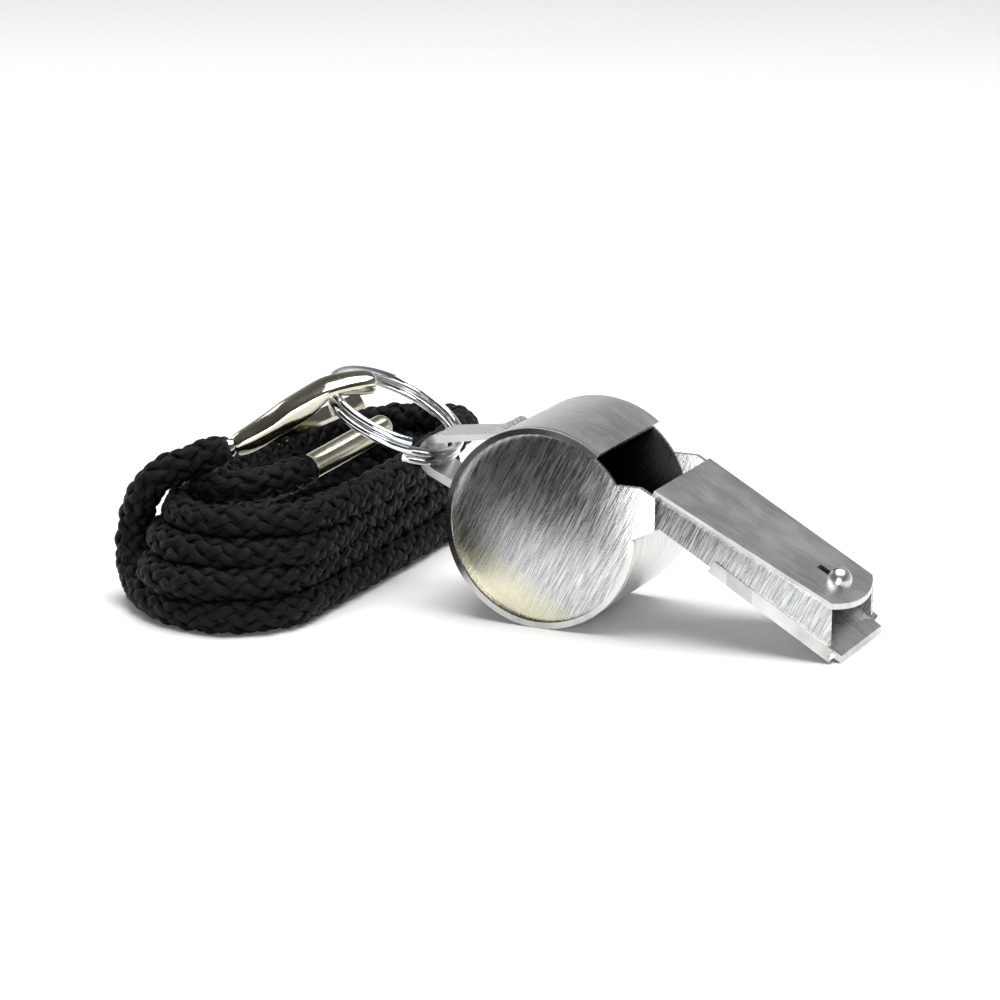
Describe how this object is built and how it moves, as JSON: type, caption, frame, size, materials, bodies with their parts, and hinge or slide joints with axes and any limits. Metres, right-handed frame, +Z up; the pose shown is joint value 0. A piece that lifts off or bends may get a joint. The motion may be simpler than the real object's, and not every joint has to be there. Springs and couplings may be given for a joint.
{
  "type": "training whistle on lanyard",
  "caption": "Pressed-metal pea whistle with a tapered mouthpiece, split ring, snap hook and a bundled braided neck cord.",
  "frame": {"origin": "centre of the underside of the bounding box of the whistle and its split ring, on the surface it stands on; the cord and its fittings are left out", "axes": "+X from the cord to the mouthpiece tip, +Y along the barrel's axis, +Z up"},
  "size_m": [0.0751, 0.0565, 0.0226],
  "materials": {
    "satin_nickel": "satin, finely scratched nickel plate",
    "solder": "grainy bright solder",
    "cork": "granular cork",
    "ring_chrome": "polished chrome",
    "polished_nickel": "polished nickel",
    "black_braid": "coarse black braid",
    "cap_metal": "crimped nickel-plated sheet"
  },
  "bodies": {
    "whistle": {"side_plate_front": "satin_nickel", "side_plate_back": "satin_nickel", "barrel_wrap": "satin_nickel", "mouthpiece_floor": "satin_nickel", "mouthpiece_top": "satin_nickel", "ring_lug": "satin_nickel", "lug_solder": "solder"},
    "pea": {"cork_pea": "cork"},
    "ring": {"split_ring": "ring_chrome"},
    "hook": {"hook_body": "polished_nickel", "gate_rivet": "polished_nickel"},
    "gate": {"gate_leaf": "polished_nickel"},
    "lanyard": {"swivel_clamp": "polished_nickel", "lanyard_lead": "black_braid", "lanyard_hank": "black_braid", "lanyard_tail": "black_braid", "cord_end_cap": "cap_metal"}
  },
  "joints": [
    {"name": "pea_roll", "type": "hinge", "parent": "whistle", "child": "pea", "pos_m": [-0.0021, 0, 0.01], "axis": [0, 1, 0], "continuous": true},
    {"name": "ring_swing", "type": "hinge", "parent": "whistle", "child": "ring", "pos_m": [-0.01538, 0, 0.01444], "axis": [0, 1, 0], "range_deg": [-8, 50]},
    {"name": "hook_swing", "type": "hinge", "parent": "ring", "child": "hook", "pos_m": [-0.0261, -0.0047, 0.01967], "axis": [-0.6573, 0.682, 0.3206], "range_deg": [-8, 8]},
    {"name": "gate_open", "type": "hinge", "parent": "hook", "child": "gate", "pos_m": [-0.03059, -0.00749, 0.01639], "axis": [0.6573, -0.682, -0.3206], "range_deg": [0, 3], "stiffness_Nm_per_rad": 0.002, "springref_deg": -5.73},
    {"name": "swivel_turn", "type": "hinge", "parent": "hook", "child": "lanyard", "pos_m": [-0.03431, -0.01052, 0.01521], "axis": [-0.7508, -0.5561, -0.3564], "range_deg": [-6, 6]}
  ]
}
